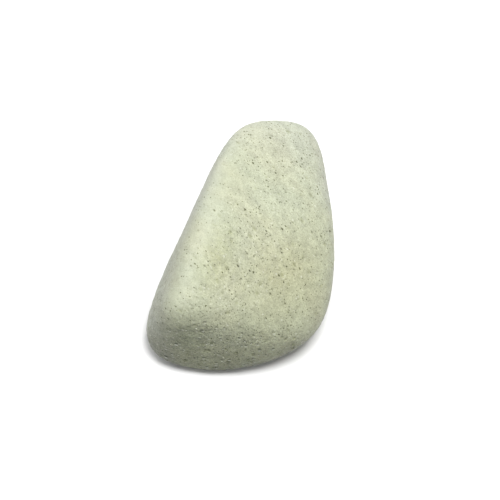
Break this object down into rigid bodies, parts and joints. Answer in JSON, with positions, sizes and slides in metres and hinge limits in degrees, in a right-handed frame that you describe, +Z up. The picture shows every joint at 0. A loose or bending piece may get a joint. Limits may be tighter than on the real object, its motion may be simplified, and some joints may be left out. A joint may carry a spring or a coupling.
{
  "type": "tumbled clinoptilolite stone",
  "caption": "Tumbled pebble of pale grey-green clinoptilolite, a natural zeolite, with worn flat faces and rounded edges, lying on its level underside.",
  "frame": {"origin": "under the middle of the bounding box, on the surface that the stone lies on", "axes": "+Z up; +Y along the stone, from its broad near end to its narrow far end; +X towards its low right side"},
  "size_m": [0.0212, 0.0336, 0.0154],
  "materials": {
    "clinoptilolite": "satin"
  },
  "bodies": {
    "root": {"clinoptilolite_stone": "clinoptilolite"}
  },
  "joints": []
}
